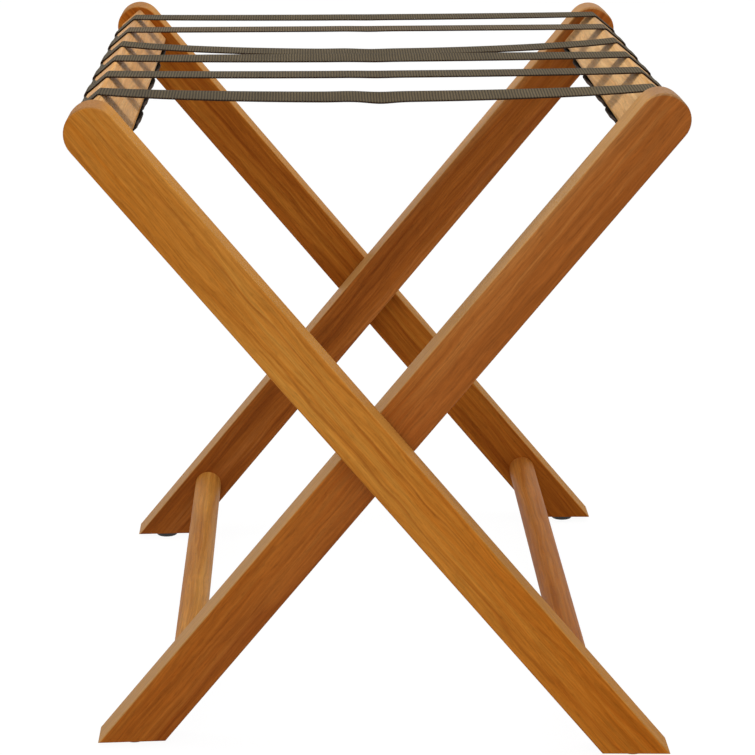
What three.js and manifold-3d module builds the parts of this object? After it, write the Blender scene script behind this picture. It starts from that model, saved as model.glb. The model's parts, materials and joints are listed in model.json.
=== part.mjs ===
// A folding luggage rack. Two hardwood frames cross like an X and turn on two blind pins at the
// middle of their legs. Six webbing straps join the two top rails, hold the frames open and carry
// the luggage. Each frame has two legs, a flat top rail fixed with dowels, a round lower stretcher
// let into the legs, and a nailed-on plastic pad under each leg.
//
// Frame: millimetres, +Z up, +Y along the rails, the floor at z = 0, the rack centred on x and y.
// A leg's own directions are "along", up the leg from the pivot, and "in", square to the leg and
// towards the other frame's rail. Shapes are drawn in that plane, with x as "in" and y as "along".
import * as THREE from "three";
import { mergeVertices } from "three/addons/utils/BufferGeometryUtils.js";
import Module from "manifold-3d";

const wasm = await Module();
wasm.setup();

// ---- Driving dimensions, mm ---------------------------------------------------------------
const rackDepth = 615; // along the rails, over the outer legs
const standAngle = THREE.MathUtils.degToRad(50.2); // legs to floor, straps taut
const pivotHeight = 236.2; // floor to the pivot pins
const legAbovePivot = 341.9; // pivot to the rounded top end
const legWidth = 38; // seen from the front
const legThickness = 35.5; // along the rails
const legEdge = 2; // rounding of the long edges
const legTopRadius = 17; // rounding of the top corners
const legGap = 1.6; // between an outer and an inner leg

const railWidth = 37.2; // along the leg
const railThickness = 23; // square to the leg
const railEdge = 2.5;
const railTopInset = 7; // rail below the top of the leg
const railFaceInset = 7; // rail behind the leg's inner edge

const stretcherRadius = 12;
const stretcherAboveFoot = 64.3; // end of the leg to the stretcher, along the leg
const stretcherSocket = 18; // depth let into each leg
const stretcherChamfer = 1;

const dowelRadius = 4;
const dowelLength = 36; // half in the leg, half in the rail
const dowelSpacing = 16;

const pinRadius = 5;
const pinInLeg = 22; // depth in each leg
const washerRadius = 11;

const padRadius = 10;
const padHeight = 5.7;
const padChamfer = 1;
const nailRadius = 1.25;
const nailInPad = 3;
const nailInLeg = 16;
const nailPoint = 4;

const strapCount = 6;
const strapWidth = 30;
const strapThickness = 1.5;
const strapEndMargin = 5.4; // inner leg to the first strap
const tailClearance = 6.8; // between one turned tail and the next
const tailLayers = 2; // the tail is turned back under the rail
const tailLip = 2.4; // tail stops short of the rail's inner face
const tailSlant = 26; // how far a tail shifts along the rail on its way round it

const tackRadius = 0.9;
const tackHeadRadius = 3;
const tackHeadThickness = 1;
const tackInRail = 5;

const fit = 0.3; // clearance where two pieces meet
const holeOverrun = 1; // how far a cutter stands out of the face it starts from

// ---- Places worked out from them ----------------------------------------------------------
const footHeight = padHeight + fit;
const pivotAboveCut = pivotHeight - footHeight;
const stretcherDrop = pivotAboveCut / Math.sin(standAngle) - stretcherAboveFoot;
const outerLegInside = rackDepth / 2 - legThickness; // y of the outer legs' inner faces
const innerLegOutside = outerLegInside - legGap;
const innerLegInside = innerLegOutside - legThickness;

const railTop = legAbovePivot - railTopInset;
const railBottom = railTop - railWidth;
const railIn = legWidth / 2 - railFaceInset;
const railOut = railIn - railThickness;
const railMiddle = { in: (railIn + railOut) / 2, along: (railTop + railBottom) / 2 };

const firstStrap = innerLegInside - strapEndMargin - strapWidth / 2;
const strapPitch = (2 * firstStrap) / (strapCount - 1);
const tailWidth = strapPitch - tailClearance;
const tailThickness = tailLayers * strapThickness;
const tailRoom = innerLegInside - strapEndMargin / 2; // a tail never passes the inner legs
const tailRun = railWidth + railThickness; // down the outer face and across the underside

// ---- Materials ----------------------------------------------------------------------------
const wood = (color) => new THREE.MeshStandardMaterial({ color, roughness: 0.5, metalness: 0 });
const legWood = wood(0xb0702c);
const innerLegWood = wood(0x98592a);
const railWood = wood(0xc29a62);
const stretcherWood = wood(0xb28255);
const dowelWood = wood(0xc8a878);
const webbing = new THREE.MeshStandardMaterial({ color: 0x69604f, roughness: 0.9, metalness: 0 });
const plastic = new THREE.MeshStandardMaterial({ color: 0x1d1a17, roughness: 0.6, metalness: 0 });
const steel = new THREE.MeshStandardMaterial({ color: 0xb8b8b4, roughness: 0.35, metalness: 1 });

// ---- Shape helpers ------------------------------------------------------------------------
function solidOf(geometry) {
  const bare = geometry.index ? geometry.toNonIndexed() : geometry.clone();
  bare.deleteAttribute("normal");
  bare.deleteAttribute("uv");
  const merged = mergeVertices(bare, 1e-3);
  return new wasm.Manifold(
    new wasm.Mesh({
      numProp: 3,
      vertProperties: merged.attributes.position.array,
      triVerts: new Uint32Array(merged.index.array),
    }),
  );
}

function geometryOf(solid) {
  const mesh = solid.getMesh();
  const geometry = new THREE.BufferGeometry();
  geometry.setAttribute("position", new THREE.BufferAttribute(mesh.vertProperties, 3));
  geometry.setIndex(new THREE.BufferAttribute(mesh.triVerts, 1));
  geometry.computeVertexNormals();
  return geometry;
}

function cut(geometry, cutters) {
  return geometryOf(cutters.reduce((rest, cutter) => rest.subtract(solidOf(cutter)), solidOf(geometry)));
}

// Extrudes a shape drawn in the leg's plane along y, from y0 to y1.
function alongRail(shape, y0, y1, edge = 0, curveSegments = 8) {
  const geometry = new THREE.ExtrudeGeometry(shape, {
    depth: y1 - y0 - 2 * edge,
    bevelEnabled: edge > 0,
    bevelThickness: edge,
    bevelSize: edge,
    bevelOffset: -edge,
    bevelSegments: 3,
    curveSegments,
  });
  return geometry.rotateX(Math.PI / 2).translate(0, y1 - edge, 0);
}

// A round bar along y between y0 and y1, with its axis at (inward, along) in the leg's plane.
function bar(radius, y0, y1, inward, along, sides, chamfer = 0) {
  const profile = [
    new THREE.Vector2(0, y0),
    new THREE.Vector2(radius - chamfer, y0),
    new THREE.Vector2(radius, y0 + chamfer),
    new THREE.Vector2(radius, y1 - chamfer),
    new THREE.Vector2(radius - chamfer, y1),
    new THREE.Vector2(0, y1),
  ];
  const kept = chamfer > 0 ? profile : profile.filter((_, i) => i !== 2 && i !== 4);
  return new THREE.LatheGeometry(kept, sides).translate(inward, 0, along);
}

// A round bar that stands up from z0 to z1 on the given place.
function post(radius, z0, z1, x, y, sides) {
  const profile = [
    new THREE.Vector2(0, z0),
    new THREE.Vector2(radius, z0),
    new THREE.Vector2(radius, z1),
    new THREE.Vector2(0, z1),
  ];
  return new THREE.LatheGeometry(profile, sides).rotateX(Math.PI / 2).translate(x, y, 0);
}

function piece(name, geometry, material) {
  const mesh = new THREE.Mesh(geometry, material);
  mesh.name = name;
  return mesh;
}

// ---- Legs ---------------------------------------------------------------------------------
// The bottom end is cut level with the floor, and the top end is rounded.
function legShape() {
  const half = legWidth / 2;
  const cutAt = (inward) => (-pivotAboveCut - inward * Math.cos(standAngle)) / Math.sin(standAngle);
  const shape = new THREE.Shape();
  shape.moveTo(-half, cutAt(-half));
  shape.lineTo(half, cutAt(half));
  shape.lineTo(half, legAbovePivot - legTopRadius);
  shape.absarc(half - legTopRadius, legAbovePivot - legTopRadius, legTopRadius, 0, Math.PI / 2);
  shape.absarc(legTopRadius - half, legAbovePivot - legTopRadius, legTopRadius, Math.PI / 2, Math.PI);
  shape.closePath();
  return shape;
}

const dowelPlaces = [-1, 1].map((side) => railMiddle.along + (side * dowelSpacing) / 2);
const footReach = pivotAboveCut / Math.tan(standAngle); // pivot to the middle of the foot, level

// side is -1 or 1: which end of the frame the leg is at. Its inner face looks to the middle.
function leg(side, inside, pivotFace) {
  const outside = inside + legThickness;
  const y0 = side > 0 ? inside : -outside;
  const body = alongRail(legShape(), y0, y0 + legThickness, legEdge, 12);
  // A blind hole from the face at |y| = face: into the leg, away from that face.
  const hole = (radius, face, depth, inward, along, sides) => {
    const away = face === inside ? 1 : -1;
    const ends = [face - away * holeOverrun, face + away * depth].map((y) => side * y);
    return bar(radius + fit, Math.min(...ends), Math.max(...ends), inward, along, sides);
  };
  const nailHole = post(nailRadius + fit, -holeOverrun, nailInLeg + fit, 0, 0, 10);
  nailHole.translate(footReach, side * (inside + legThickness / 2), -pivotAboveCut);
  nailHole.rotateY(Math.PI / 2 - standAngle);
  return cut(body, [
    hole(stretcherRadius, inside, stretcherSocket, 0, -stretcherDrop, 32),
    hole(pinRadius, pivotFace === "inside" ? inside : outside, pinInLeg, 0, 0, 20),
    ...dowelPlaces.map((along) => hole(dowelRadius, inside, dowelLength / 2, railMiddle.in, along, 16)),
    nailHole,
  ]);
}

// ---- Rail, stretcher and their dowels -----------------------------------------------------
function railShape() {
  const shape = new THREE.Shape();
  const corners = [
    [railIn - railEdge, railTop - railEdge, 0],
    [railOut + railEdge, railTop - railEdge, 1],
    [railOut + railEdge, railBottom + railEdge, 2],
    [railIn - railEdge, railBottom + railEdge, 3],
  ];
  for (const [x, y, quarter] of corners)
    shape.absarc(x, y, railEdge, (quarter * Math.PI) / 2, ((quarter + 1) * Math.PI) / 2);
  return shape;
}

function rail(inside, tackYs) {
  const end = inside - fit;
  const sockets = [-1, 1].flatMap((side) =>
    dowelPlaces.map((along) => {
      const ys = [side * (end + holeOverrun), side * (end + fit - dowelLength / 2 - fit)];
      return bar(dowelRadius + fit, Math.min(...ys), Math.max(...ys), railMiddle.in, along, 16);
    }),
  );
  const tackHoles = tackYs.map((y) =>
    post(tackRadius + fit, railBottom - holeOverrun, railBottom + tackInRail + fit, railMiddle.in, y, 8),
  );
  return cut(alongRail(railShape(), -end, end, 0, 4), [...sockets, ...tackHoles]);
}

function stretcher(inside) {
  const end = inside + stretcherSocket - fit;
  return bar(stretcherRadius, -end, end, 0, -stretcherDrop, 32, stretcherChamfer);
}

// ---- Webbing ------------------------------------------------------------------------------
// A band of the given layers laid round the rail's section, from one angle to another of the
// outline's normal: 0 is the inner face, 90 the top, 180 the outer face and 270 the underside.
function bandShape(lift, thickness, fromAngle, toAngle, lastStretch) {
  const centres = [
    [railIn - railEdge, railTop - railEdge],
    [railOut + railEdge, railTop - railEdge],
    [railOut + railEdge, railBottom + railEdge],
  ];
  const edgeLine = (radius) => {
    const points = [];
    centres.forEach(([x, y], corner) => {
      const from = Math.max(fromAngle, (corner * Math.PI) / 2);
      const to = Math.min(toAngle, ((corner + 1) * Math.PI) / 2);
      const steps = 4;
      for (let i = 0; i <= steps && to > from; i++) {
        const angle = from + ((to - from) * i) / steps;
        points.push(new THREE.Vector2(x + radius * Math.cos(angle), y + radius * Math.sin(angle)));
      }
    });
    const last = points.at(-1);
    points.push(new THREE.Vector2(last.x + lastStretch.x, last.y + lastStretch.y));
    return points;
  };
  const near = edgeLine(railEdge + lift);
  const far = edgeLine(railEdge + lift + thickness);
  return new THREE.Shape([...near, ...far.reverse()]);
}

// The two edges of a strap's tail, as y, where it has gone the given way round the rail.
function tailEdges(y, turnTo, gone) {
  return [-strapWidth / 2, tailWidth - strapWidth / 2]
    .map((edge) => y + turnTo * (edge + (tailSlant * gone) / tailRun))
    .map((edge) => THREE.MathUtils.clamp(edge, -tailRoom, tailRoom))
    .sort((a, b) => a - b);
}

// Extrudes a part of a tail along y and shifts each of its points by how far round it lies.
function slantedTail(shape, y, turnTo) {
  const [y0, y1] = tailEdges(y, turnTo, 0);
  const geometry = alongRail(shape, y0, y1);
  const places = geometry.attributes.position;
  for (let i = 0; i < places.count; i++) {
    const down = THREE.MathUtils.clamp(railTop - places.getZ(i), 0, railWidth);
    const inward = Math.max(places.getX(i) - railOut, 0);
    const edges = tailEdges(y, turnTo, down + inward);
    places.setY(i, places.getY(i) < (y0 + y1) / 2 ? edges[0] : edges[1]);
  }
  return geometry;
}

// The tack stands in the middle of the tail, under the middle of the rail.
function tackPlace(y, turnTo) {
  const edges = tailEdges(y, turnTo, railWidth + railMiddle.in - railOut);
  return (edges[0] + edges[1]) / 2;
}

// The end of one strap: over the rail's top corner, down its outer face and turned under it.
function strapEnd(y, turnTo) {
  const turn = Math.PI;
  const over = bandShape(fit, strapThickness, standAngle, turn, { x: 0, y: -railEdge });
  const start = railOut + railEdge;
  const under = bandShape(fit, tailThickness, turn, 1.5 * turn, { x: railIn - tailLip - start, y: 0 });
  const drop = new THREE.Shape([
    new THREE.Vector2(railOut - fit, railTop - railEdge),
    new THREE.Vector2(railOut - fit, railBottom + railEdge),
    new THREE.Vector2(railOut - fit - tailThickness, railBottom + railEdge),
    new THREE.Vector2(railOut - fit - tailThickness, railTop - railEdge),
  ]);
  const tackHole = post(
    tackRadius + fit,
    railBottom - 2 * tailThickness,
    railBottom + holeOverrun,
    railMiddle.in,
    tackPlace(y, turnTo),
    8,
  );
  const upper = solidOf(alongRail(over, y - strapWidth / 2, y + strapWidth / 2));
  const tail = solidOf(slantedTail(drop, y, turnTo)).add(solidOf(slantedTail(under, y, turnTo)));
  return geometryOf(upper.add(tail).subtract(solidOf(tackHole)));
}

function tack(y) {
  const headTop = railBottom - fit - tailThickness - fit;
  const profile = [
    new THREE.Vector2(0, headTop - tackHeadThickness),
    new THREE.Vector2(tackHeadRadius, headTop - tackHeadThickness / 2),
    new THREE.Vector2(tackHeadRadius, headTop),
    new THREE.Vector2(tackRadius, headTop),
    new THREE.Vector2(tackRadius, railBottom + tackInRail - 2 * tackRadius),
    new THREE.Vector2(0, railBottom + tackInRail),
  ];
  return new THREE.LatheGeometry(profile, 12).rotateX(Math.PI / 2).translate(railMiddle.in, y, 0);
}

// ---- Feet ---------------------------------------------------------------------------------
function pad() {
  const bore = nailRadius + fit;
  const profile = [
    new THREE.Vector2(0, 0),
    new THREE.Vector2(padRadius - padChamfer, 0),
    new THREE.Vector2(padRadius, padChamfer),
    new THREE.Vector2(padRadius, padHeight),
    new THREE.Vector2(bore, padHeight),
    new THREE.Vector2(bore, padHeight - nailInPad - fit),
    new THREE.Vector2(0, padHeight - nailInPad - fit),
  ];
  return new THREE.LatheGeometry(profile, 32).rotateX(Math.PI / 2);
}

function nail() {
  const profile = [
    new THREE.Vector2(0, padHeight - nailInPad),
    new THREE.Vector2(nailRadius, padHeight - nailInPad),
    new THREE.Vector2(nailRadius, footHeight + nailInLeg - nailPoint),
    new THREE.Vector2(0, footHeight + nailInLeg),
  ];
  return new THREE.LatheGeometry(profile, 10).rotateX(Math.PI / 2);
}

// ---- One frame ----------------------------------------------------------------------------
// Both frames are built alike and leaning to -x. The inner one is narrower and stands turned
// half a turn, so its own front is at +y. turnTo is the way its strap tails are turned, along y.
function frame(name, inside, legColor, pivotFace, frontSide, turnTo) {
  const upright = new THREE.Group();
  const leaning = new THREE.Group();
  leaning.rotation.y = standAngle - Math.PI / 2;
  leaning.position.z = pivotHeight;
  upright.add(leaning);

  const ends = { front: frontSide, back: -frontSide };
  for (const [end, side] of Object.entries(ends)) {
    leaning.add(piece(`${name}_leg_${end}`, leg(side, inside, pivotFace), legColor));
    dowelPlaces.forEach((along, i) => {
      const ys = [side * (inside - dowelLength / 2), side * (inside + dowelLength / 2)].sort((a, b) => a - b);
      const dowel = bar(dowelRadius, ys[0] + fit, ys[1] - fit, railMiddle.in, along, 16, fit);
      leaning.add(piece(`${name}_rail_dowel_${end}_${i + 1}`, dowel, dowelWood));
    });
    const foot = new THREE.Group();
    foot.position.set(footReach, side * (inside + legThickness / 2), 0);
    foot.add(piece(`${name}_foot_pad_${end}`, pad(), plastic));
    foot.add(piece(`${name}_foot_nail_${end}`, nail(), steel));
    upright.add(foot);
  }

  const strapYs = Array.from({ length: strapCount }, (_, i) => frontSide * (firstStrap - i * strapPitch));
  const tackYs = strapYs.map((y) => tackPlace(y, turnTo));
  leaning.add(piece(`${name}_rail`, rail(inside, tackYs), railWood));
  leaning.add(piece(`${name}_stretcher`, stretcher(inside), stretcherWood));
  strapYs.forEach((y, i) => {
    leaning.add(piece(`${name}_strap_end_${i + 1}`, strapEnd(y, turnTo), webbing));
    leaning.add(piece(`${name}_strap_tack_${i + 1}`, tack(tackYs[i]), steel));
  });
  return upright;
}

// ---- Straps between the rails -------------------------------------------------------------
// A strap leaves each rail where the rounded top corner is level.
function strapSpans() {
  const group = new THREE.Group();
  const cornerIn = railIn - railEdge;
  const cornerAlong = railTop - railEdge;
  const reach = cornerAlong * Math.cos(standAngle) - cornerIn * Math.sin(standAngle) - fit;
  const rise = cornerAlong * Math.sin(standAngle) + cornerIn * Math.cos(standAngle) + railEdge + fit;
  for (let i = 0; i < strapCount; i++) {
    const span = piece(
      `strap_span_${i + 1}`,
      new THREE.BoxGeometry(2 * reach, strapWidth, strapThickness),
      webbing,
    );
    span.position.set(0, i * strapPitch - firstStrap, pivotHeight + rise + strapThickness / 2);
    group.add(span);
  }
  return group;
}

// ---- Pivots -------------------------------------------------------------------------------
function pivots() {
  const group = new THREE.Group();
  const washerThickness = legGap - 2 * fit;
  for (const [end, side] of [["front", -1], ["back", 1]]) {
    const pinEnds = [innerLegOutside - pinInLeg + fit, outerLegInside + pinInLeg - fit].map((y) => side * y);
    const pin = bar(pinRadius, Math.min(...pinEnds), Math.max(...pinEnds), 0, pivotHeight, 20, 0.5);
    group.add(piece(`pivot_pin_${end}`, pin, steel));
    const ring = [
      new THREE.Vector2(pinRadius + fit, -washerThickness / 2),
      new THREE.Vector2(washerRadius, -washerThickness / 2),
      new THREE.Vector2(washerRadius, washerThickness / 2),
      new THREE.Vector2(pinRadius + fit, washerThickness / 2),
      new THREE.Vector2(pinRadius + fit, -washerThickness / 2),
    ];
    const washer = new THREE.LatheGeometry(ring, 20);
    washer.translate(0, side * (outerLegInside - legGap / 2), pivotHeight);
    group.add(piece(`pivot_washer_${end}`, washer, steel));
  }
  return group;
}

// ---- The rack -----------------------------------------------------------------------------
const rack = new THREE.Group();
const outerFrame = frame("outer", outerLegInside, legWood, "inside", -1, 1);
const innerFrame = frame("inner", innerLegInside, innerLegWood, "outside", 1, -1);
innerFrame.rotation.z = Math.PI;
rack.add(outerFrame, innerFrame, strapSpans(), pivots());

export default rack;
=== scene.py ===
# %% [markdown]
# # A folding luggage rack
# Two hardwood frames cross like an X and turn on hidden pins. Six webbing straps join their top
# rails and hold the rack open. The model's sizes and its joint come from a fixed CAD frame: this
# script lays the finer shapes and all the finishes over it, and never moves what it is given.

# %% Load the frame
import json
import math

import bmesh
import bpy
from mathutils import Matrix, Vector


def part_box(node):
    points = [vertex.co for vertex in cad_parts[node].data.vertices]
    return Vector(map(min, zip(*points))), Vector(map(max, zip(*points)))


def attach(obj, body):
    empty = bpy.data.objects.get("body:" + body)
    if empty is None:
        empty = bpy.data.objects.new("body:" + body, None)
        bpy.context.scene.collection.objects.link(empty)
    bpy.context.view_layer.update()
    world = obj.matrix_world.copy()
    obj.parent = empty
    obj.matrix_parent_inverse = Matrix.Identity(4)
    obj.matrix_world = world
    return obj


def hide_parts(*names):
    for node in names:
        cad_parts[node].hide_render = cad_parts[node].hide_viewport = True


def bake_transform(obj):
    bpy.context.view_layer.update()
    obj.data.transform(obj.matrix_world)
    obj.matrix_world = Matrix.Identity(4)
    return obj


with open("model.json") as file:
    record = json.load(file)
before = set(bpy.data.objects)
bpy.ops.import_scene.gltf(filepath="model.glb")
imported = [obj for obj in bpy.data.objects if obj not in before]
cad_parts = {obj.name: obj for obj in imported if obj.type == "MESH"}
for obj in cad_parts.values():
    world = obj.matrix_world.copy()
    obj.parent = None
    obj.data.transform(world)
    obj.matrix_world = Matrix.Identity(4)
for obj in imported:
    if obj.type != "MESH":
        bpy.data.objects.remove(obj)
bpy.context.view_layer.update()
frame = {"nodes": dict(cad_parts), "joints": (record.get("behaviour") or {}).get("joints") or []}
fold = frame["joints"][0]
pivot = Vector(fold["pos_m"])

# %% [markdown]
# ## Sizes
# All lengths are metres. A leg stands at 50.2 degrees, so it is easiest to draw a frame upright and
# lean it afterwards: x is "in", towards the other rail, y runs along the rails, and z is "along",
# up the leg from the pivot. One matrix leans the outer frame, and half a turn gives the inner one.

# %% Sizes that several pieces share
LEAN = math.radians(50.2)
GAP = 0.0003  # left open where two pieces meet
OUTER_INSIDE, INNER_INSIDE = 0.272, 0.2349  # |y| of the legs' inner faces
LEG_WIDTH, BACK_LEG_WIDTH, LEG_DEPTH = 0.0393, 0.0383, 0.0355  # the outer back leg is narrower
LEG_TOP = 0.3425  # along, from the pivot to the leg's top end
RAIL_IN, RAIL_OUT = 0.012, -0.011  # the rail's two wide faces, in
RAIL_TOP, RAIL_BOTTOM = 0.3349, 0.2977  # and its narrow ones, along
RAIL_EASE = 0.0025  # the rounding of its long edges

# %% The two leaning matrices
LEANING = {"outer_frame": Matrix.Translation(pivot) @ Matrix.Rotation(LEAN - math.pi / 2, 4, "Y")}
LEANING["inner_frame"] = Matrix.Rotation(math.pi, 4, "Z") @ LEANING["outer_frame"]
for body, lean in LEANING.items():
    print(body, "has its leg tops at x, z", [round(c, 3) for c in (lean @ Vector((0, 0, LEG_TOP))).xz])

# %% [markdown]
# ## A recipe for a material
# Every finish here is a small node graph. It could be drawn by hand in the shader editor, but then a
# reader would have to open the file to see it. This helper adds nodes by name and links or sets
# their inputs, so that each recipe below reads as a list of steps.


# %% Colours
def srgb(red, green, blue):
    """A colour as it is picked on a screen, 0 to 255, as the linear colour that Blender wants."""
    parts = [c / 255 for c in (red, green, blue)]
    return (*[c / 12.92 if c <= 0.04045 else ((c + 0.055) / 1.055) ** 2.4 for c in parts], 1.0)


print("a middle grey gives back", round(srgb(128, 128, 128)[0], 2), "of the light")


# %% The graph helper
class Graph:
    """Adds nodes to the tree of a material or a world, and joins them."""

    def __init__(self, tree):
        self.tree = tree

    def set(self, node, inputs):
        for key, value in inputs.items():
            if isinstance(value, bpy.types.NodeSocket):
                self.tree.links.new(value, node.inputs[key])
            else:
                node.inputs[key].default_value = value

    def node(self, kind, inputs=None, **settings):
        made = self.tree.nodes.new(f"ShaderNode{kind}")
        for key, value in settings.items():
            setattr(made, key, value)
        self.set(made, inputs or {})
        return made

    def math(self, operation, first, second=0.0):
        return self.node("Math", {0: first, 1: second}, operation=operation).outputs[0]

    def vector(self, operation, first, second=(0, 0, 0), output="Vector"):
        made = self.node("VectorMath", {0: first, 1: second}, operation=operation)
        return made.outputs[output]

    def noise(self, place, stretch, detail, offset=(0, 0, 0)):
        """Noise whose grains are 1 / stretch metres long along each axis."""
        moved = self.node("Mapping", {"Vector": place, "Scale": stretch, "Location": offset})
        inputs = {"Vector": moved.outputs[0], "Scale": 1.0, "Detail": detail}
        return self.node("TexNoise", inputs)

    def spread(self, value, low, high, to_low=0.0, to_high=1.0):
        """Carries low to to_low and high to to_high, and holds what lies outside at these ends."""
        inputs = {0: value, 1: low, 2: high, 3: to_low, 4: to_high}
        return self.node("MapRange", inputs, clamp=True).outputs[0]

    def ramp(self, value, stops):
        made = self.node("ValToRGB", {"Fac": value})
        band = made.color_ramp
        while len(band.elements) < len(stops):
            band.elements.new(0.5)
        for element, (place, color) in zip(band.elements, stops):
            element.position, element.color = place, color
        return made.outputs[0]

    def mix(self, share, first, second, blend_type="MIX"):
        inputs = {0: share, 6: first, 7: second}
        return self.node("Mix", inputs, data_type="RGBA", blend_type=blend_type).outputs[2]

    def shaded(self, color, shade):
        """The colour times a number."""
        grey = self.node("CombineColor", {0: shade, 1: shade, 2: shade}).outputs[0]
        return self.mix(1.0, color, grey, "MULTIPLY")

    def bump(self, height, distance, strength):
        inputs = {"Height": height, "Distance": distance, "Strength": strength}
        return self.node("Bump", inputs).outputs[0]

    def seen_plainly(self):
        """1 for the rays that see a background: straight ones, reflected and through glass."""
        rays = self.node("LightPath").outputs
        seen = self.math("MAXIMUM", rays["Is Camera Ray"], rays["Is Glossy Ray"])
        return self.math("MAXIMUM", seen, rays["Is Transmission Ray"])


# %% The material helper
class Recipe(Graph):
    """A new material, with its graph and its shader."""

    def __init__(self, name):
        self.material = bpy.data.materials.new(name)
        self.material.use_nodes = True
        super().__init__(self.material.node_tree)
        self.shader = self.tree.nodes["Principled BSDF"]


# %% [markdown]
# ## Wood
# Oiled hardwood shows several patterns at once: slow drifts of tone along the board, thin dark lines
# where a growth ring ends, streaks a few millimetres wide, and fine fibres with short dark pores. A
# picture wrapped round a board would break at its edges, so noise fills the whole board instead. All
# the patterns are long in the direction of the grain and narrow across it: the object's coordinates
# are first turned until x lies along the board, and each noise is then stretched along x.

# %% Which way the grain runs, and the noises
GRAIN = {  # the turns that lay a board along x
    "outer": (0, math.pi - LEAN, 0),
    "inner": (0, LEAN, 0),
    "rails": (0, 0, -math.pi / 2),
}
TREE_STEP = (1.37, 0.61, 0.83)  # from one board's place in the noise to the next one's
NOISES = {  # how many grains fill a metre along the board and across it, detail, offset
    "drift": ((3.5, 26, 26), 2, (0, 0, 0)),
    "ripple": ((18, 80, 80), 1, (2, 6, 3)),
    "tone": ((2.2, 40, 40), 3, (3, 1, 7)),
    "streaks": ((7, 300, 300), 3, (1, 5, 2)),
    "threads": ((9, 620, 620), 2, (6, 4, 1)),
    "fibres": ((70, 1100, 1100), 2, (4, 2, 9)),
    "pores": ((140, 1000, 1000), 1, (8, 3, 5)),
}
for kind, (stretch, _, _) in NOISES.items():
    print(f"{kind}: about {1000 / stretch[0]:.0f} mm long and {1000 / stretch[1]:.1f} mm wide")

# %% [markdown]
# ### Rings
# Growth rings are long tubes round the tree's heart, and taper a little as the trunk does. The heart
# lies outside the board, so the lines run on over the board's edges and show as arcs on its end
# grain. Flat stripes would be simpler, but would break there. Perfect tubes would look machined, so
# the coordinates are bent a little first, and the lines wander as a tree's do.

# %% Bent coordinates and ring lines
HEART = (0.07, 0.045)  # from the board to the middle of its tree, across the grain
TAPER = 0.03  # how much the place along the board adds to the radius
WANDER, RIPPLE = 0.012, 0.005  # how wide the slow and the quick bends are
LINE_FULL, LINE_GOES = 0.93, 0.94  # the shares of a ring where its dark line is full, and starts to go


def sideways(recipe, noise, width):
    """A noise's colour as a move across the grain."""
    middle = recipe.vector("SUBTRACT", noise.outputs["Color"], (0.5, 0.5, 0.5))
    return recipe.vector("MULTIPLY", middle, (0, width, width))


def ring_lines(recipe, bent, heart, ring, crisp):
    """0 in the first share of each ring, then rising to 1, with a quick fall where it ends."""
    from_heart = recipe.vector("SUBTRACT", bent, heart)
    from_heart = recipe.vector("MULTIPLY", from_heart, (TAPER, 1, 1))
    radius = recipe.vector("LENGTH", from_heart, output="Value")
    year = recipe.math("FRACT", recipe.math("DIVIDE", radius, ring))
    fall = recipe.spread(year, LINE_GOES, 1.0, 1, 0)
    return recipe.math("MULTIPLY", recipe.spread(year, crisp, LINE_FULL), fall)


# %% [markdown]
# ### Sapwood and painted sheen, end grain and foot
# The young wood under the bark is pale, and a board that is sawn close to it keeps a pale edge. The
# legs show it on their upper edge, which is also painted lighter for the sheen of the light that
# these up-facing faces catch. Round the top end, where the fibres are cut, it turns to a cooler
# brown, and towards the foot the leg gets a deeper tone. A painted mask would need a picture of its
# own. These bands only depend on the place in the leg, so they are worked out from it.

# %% Shares for a leg's edge, end and foot
PALE_FROM, PALE_FULL = 0.0009, 0.0003  # before the leg's edge
BAND, BAND_RISE = (0.0125, 0.0195), (0.02, 0.24)  # a softer band on the sides, partly pale wood and partly painted sheen: in, along
END_GRAIN = (0.003, 0.012)  # from where the rounding begins
FOOT_SLOPE = 5  # the foot's tone reaches this much further up the leg for each step in
FOOT_FULL, FOOT_GONE = -0.25, 0.10  # along, with that slope
EDGE_WANDER, FOOT_WANDER = 0.0002, 0.06  # how far the drift moves the edge and the foot's tone


def leg_shares(recipe, place, drift, grain, half, soft):
    """Shares from 0 to 1: the paler edge (sapwood and painted sheen), its end grain and its deeper
    foot.
    """
    turn = LEANING[f"{grain}_frame"].to_3x3()
    from_pivot = recipe.vector("SUBTRACT", place, pivot)
    inward = recipe.vector("DOT_PRODUCT", from_pivot, turn @ Vector((1, 0, 0)), "Value")
    along = recipe.vector("DOT_PRODUCT", from_pivot, turn @ Vector((0, 0, 1)), "Value")
    past = recipe.math("SUBTRACT", along, LEG_TOP - LEG_WIDTH / 2)
    corner = {0: recipe.math("MAXIMUM", inward, 0), 1: recipe.math("MAXIMUM", past, 0)}
    corner = recipe.node("CombineXYZ", corner).outputs[0]
    reach = recipe.vector("LENGTH", corner, output="Value")
    wander = recipe.spread(drift, 0.35, 0.65, -EDGE_WANDER, EDGE_WANDER)
    rim = recipe.spread(recipe.math("ADD", reach, wander), half - PALE_FROM, half - PALE_FULL)
    band = recipe.math("MULTIPLY", recipe.spread(inward, *BAND), recipe.spread(along, *BAND_RISE))
    pale = recipe.math("MAXIMUM", rim, recipe.math("MULTIPLY", band, soft))
    low = recipe.math("SUBTRACT", along, recipe.math("MULTIPLY", inward, FOOT_SLOPE))
    wander = recipe.spread(drift, 0.3, 0.7, -FOOT_WANDER, FOOT_WANDER)
    low = recipe.spread(recipe.math("ADD", low, wander), FOOT_FULL, FOOT_GONE, 1, 0)
    return pale, recipe.spread(past, *END_GRAIN), low


# %% [markdown]
# ### The whole board
# The slow tone and the streaks choose a colour between three tones of the same wood. The ring lines
# are multiplied in, then threads, fibres and pores lighten and darken the result a little. The same
# fibres and pores give a very low bump, and the fibres vary the roughness, because oil fills wood
# unevenly. Real dents would take millions of faces, and a bump only bends the light.

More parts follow.
